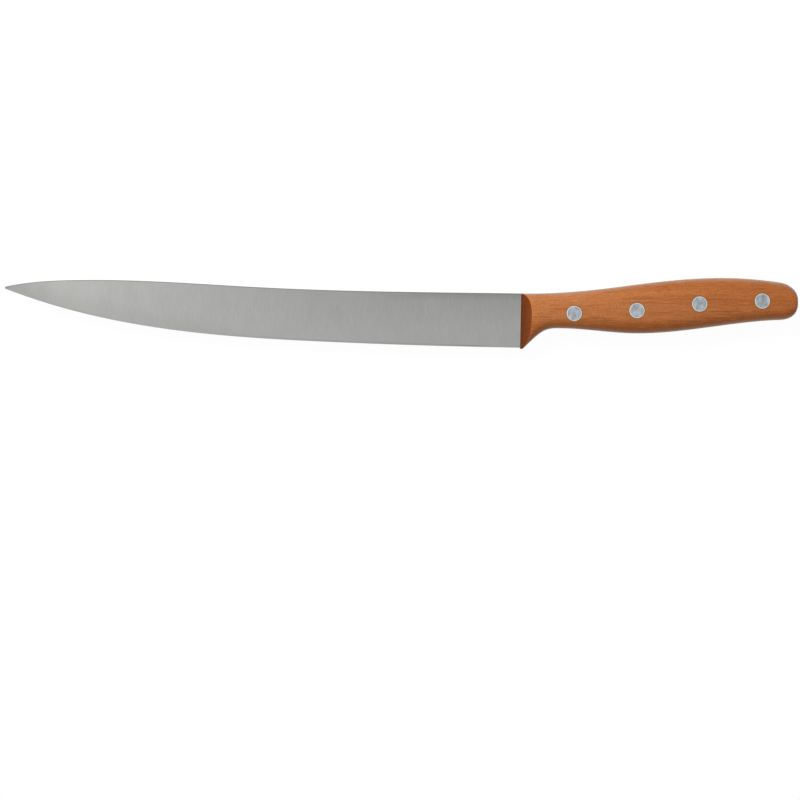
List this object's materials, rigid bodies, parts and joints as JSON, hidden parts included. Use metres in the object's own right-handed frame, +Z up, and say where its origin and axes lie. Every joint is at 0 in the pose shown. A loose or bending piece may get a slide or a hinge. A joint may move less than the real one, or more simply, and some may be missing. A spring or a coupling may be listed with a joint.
{
  "type": "fillet knife",
  "caption": "Long slim knife with an upswept point, for slicing and filleting, with a full-tang steel blade between plum-wood scales held by flush two-part rivets.",
  "frame": {"origin": "middle of the knife's box, on the surface that it lies on", "axes": "+X from the tip to the butt, +Y from the cutting edge to the spine, +Z up through the thickness with the left side on top"},
  "size_m": [0.3538, 0.0316, 0.0176],
  "materials": {
    "blade_steel": "fine-ground stainless steel, satin, with faint grinding lines across the blade",
    "plum_wood": "oiled plum wood, warm orange-brown, fine lengthwise grain with small dark flecks",
    "rivet_aluminium": "ground flush with the wood, satin, slightly bluish"
  },
  "bodies": {
    "root": {"blade": "blade_steel", "left_scale": "plum_wood", "right_scale": "plum_wood", "rivet_1_post": "rivet_aluminium", "rivet_1_socket": "rivet_aluminium", "rivet_2_post": "rivet_aluminium", "rivet_2_socket": "rivet_aluminium", "rivet_3_post": "rivet_aluminium", "rivet_3_socket": "rivet_aluminium", "rivet_4_post": "rivet_aluminium", "rivet_4_socket": "rivet_aluminium"}
  },
  "joints": []
}
